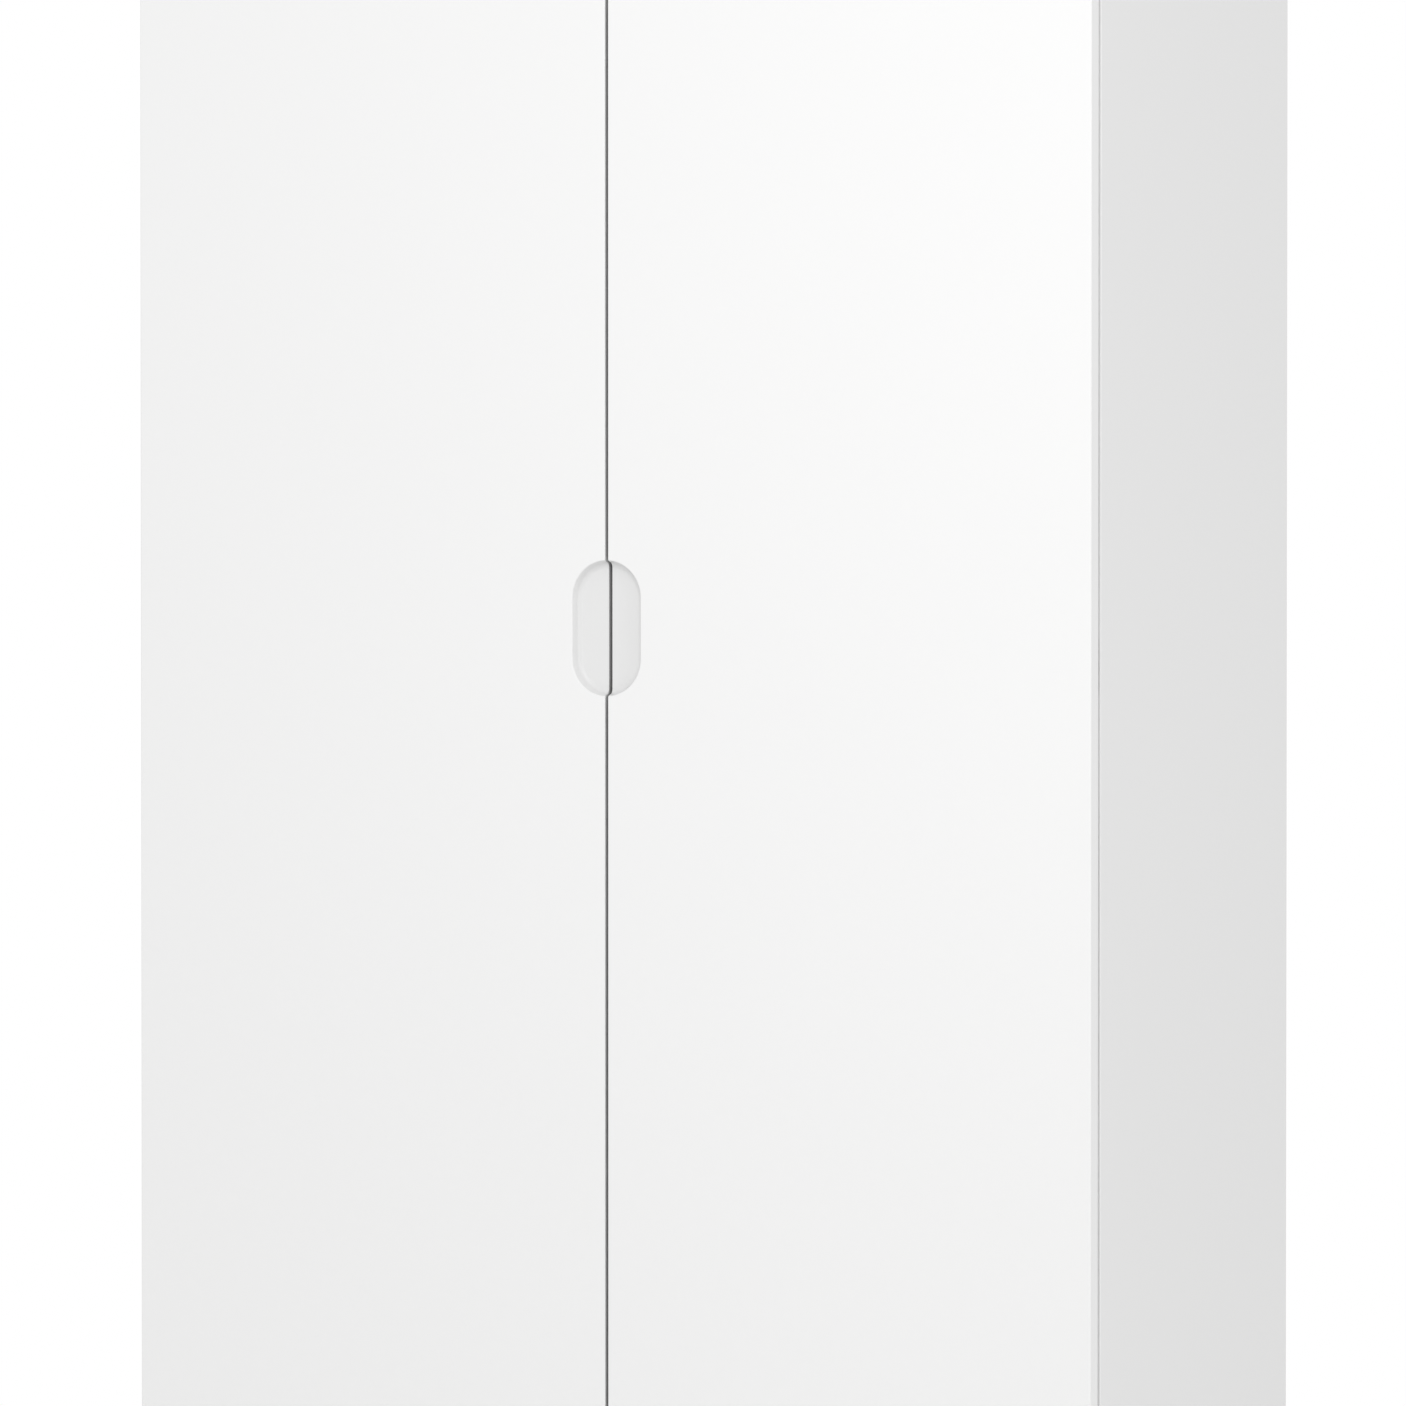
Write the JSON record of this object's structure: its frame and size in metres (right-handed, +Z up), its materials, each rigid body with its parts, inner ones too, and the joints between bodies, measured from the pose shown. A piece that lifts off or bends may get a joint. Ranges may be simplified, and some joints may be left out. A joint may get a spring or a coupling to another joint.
{
  "type": "two-door wardrobe",
  "caption": "Tall white wardrobe with plain hinged doors, a recessed stadium finger pull split by the seam, a hat shelf and a hanging rail.",
  "frame": {"origin": "on the floor under the middle of the closed wardrobe", "axes": "+Z up, the doors face -Y, +X to the right of someone who faces the doors"},
  "size_m": [0.98, 0.51, 1.9],
  "materials": {
    "carcass_board": "white satin melamine foil on particle board",
    "door_lacquer": "white silk-gloss lacquer on fibreboard",
    "back_board": "white printed hardboard, matt",
    "trim_plastic": "white extruded plastic, satin",
    "glide_plastic": "light grey moulded plastic",
    "rail_chrome": "bright chromed steel tube",
    "zinc_fitting": "die-cast and pressed metal, satin nickel plated",
    "hinge_nickel": "pressed steel, bright nickel plated",
    "clear_bumper": "clear soft stick-on bumper"
  },
  "bodies": {
    "carcass": {"left_side_panel": "carcass_board", "right_side_panel": "carcass_board", "top_panel": "carcass_board", "bottom_panel": "carcass_board", "hat_shelf": "carcass_board", "plinth_front": "carcass_board", "plinth_rear": "carcass_board", "back_panel_left": "back_board", "back_panel_right": "back_board", "back_joint_strip": "trim_plastic", "foot_glide_left_front": "glide_plastic", "foot_glide_left_rear": "glide_plastic", "foot_glide_right_front": "glide_plastic", "foot_glide_right_rear": "glide_plastic", "hanging_rail": "rail_chrome", "rail_socket_left": "zinc_fitting", "rail_socket_right": "zinc_fitting", "shelf_pin_left_front": "zinc_fitting", "shelf_pin_left_rear": "zinc_fitting", "shelf_pin_right_front": "zinc_fitting", "shelf_pin_right_rear": "zinc_fitting", "hinge_plate_left_bottom": "hinge_nickel", "hinge_arm_left_bottom": "hinge_nickel", "hinge_plate_left_middle": "hinge_nickel", "hinge_arm_left_middle": "hinge_nickel", "hinge_plate_left_top": "hinge_nickel", "hinge_arm_left_top": "hinge_nickel", "hinge_plate_right_bottom": "hinge_nickel", "hinge_arm_right_bottom": "hinge_nickel", "hinge_plate_right_middle": "hinge_nickel", "hinge_arm_right_middle": "hinge_nickel", "hinge_plate_right_top": "hinge_nickel", "hinge_arm_right_top": "hinge_nickel"},
    "left_long_links": {"long_link_left_bottom": "hinge_nickel", "long_link_left_middle": "hinge_nickel", "long_link_left_top": "hinge_nickel"},
    "left_short_links": {"short_link_left_bottom": "hinge_nickel", "short_link_left_middle": "hinge_nickel", "short_link_left_top": "hinge_nickel"},
    "left_door": {"left_door_panel": "door_lacquer", "hinge_cup_left_bottom": "hinge_nickel", "hinge_cup_left_middle": "hinge_nickel", "hinge_cup_left_top": "hinge_nickel", "door_bumper_left_bottom": "clear_bumper", "door_bumper_left_top": "clear_bumper"},
    "right_long_links": {"long_link_right_bottom": "hinge_nickel", "long_link_right_middle": "hinge_nickel", "long_link_right_top": "hinge_nickel"},
    "right_short_links": {"short_link_right_bottom": "hinge_nickel", "short_link_right_middle": "hinge_nickel", "short_link_right_top": "hinge_nickel"},
    "right_door": {"right_door_panel": "door_lacquer", "hinge_cup_right_bottom": "hinge_nickel", "hinge_cup_right_middle": "hinge_nickel", "hinge_cup_right_top": "hinge_nickel", "door_bumper_right_bottom": "clear_bumper", "door_bumper_right_top": "clear_bumper"}
  },
  "joints": [
    {"name": "left_long_link_turn", "type": "hinge", "parent": "carcass", "child": "left_long_links", "pos_m": [-0.446, -0.2259, 0.985], "axis": [0, 0, 1], "range_deg": [0, 42.5]},
    {"name": "left_door_swing", "type": "hinge", "parent": "left_long_links", "child": "left_door", "pos_m": [-0.4725, -0.2373, 0.985], "axis": [0, 0, -1], "range_deg": [0, 127.5]},
    {"name": "left_short_link_turn", "type": "hinge", "parent": "carcass", "child": "left_short_links", "pos_m": [-0.4608, -0.2432, 0.985], "axis": [0, 0, 1], "range_deg": [0, 88.5]},
    {"name": "right_long_link_turn", "type": "hinge", "parent": "carcass", "child": "right_long_links", "pos_m": [0.446, -0.2259, 0.985], "axis": [0, 0, -1], "range_deg": [0, 42.5]},
    {"name": "right_door_swing", "type": "hinge", "parent": "right_long_links", "child": "right_door", "pos_m": [0.4725, -0.2373, 0.985], "axis": [0, 0, 1], "range_deg": [0, 127.5]},
    {"name": "right_short_link_turn", "type": "hinge", "parent": "carcass", "child": "right_short_links", "pos_m": [0.4608, -0.2432, 0.985], "axis": [0, 0, -1], "range_deg": [0, 88.5]}
  ],
  "couplings": [
    {"joint": "left_long_link_turn", "follows": "left_door_swing", "ratio": 0.33333},
    {"joint": "left_short_link_turn", "follows": "left_door_swing", "ratio": 0.69333},
    {"joint": "right_long_link_turn", "follows": "right_door_swing", "ratio": 0.33333},
    {"joint": "right_short_link_turn", "follows": "right_door_swing", "ratio": 0.69333}
  ]
}
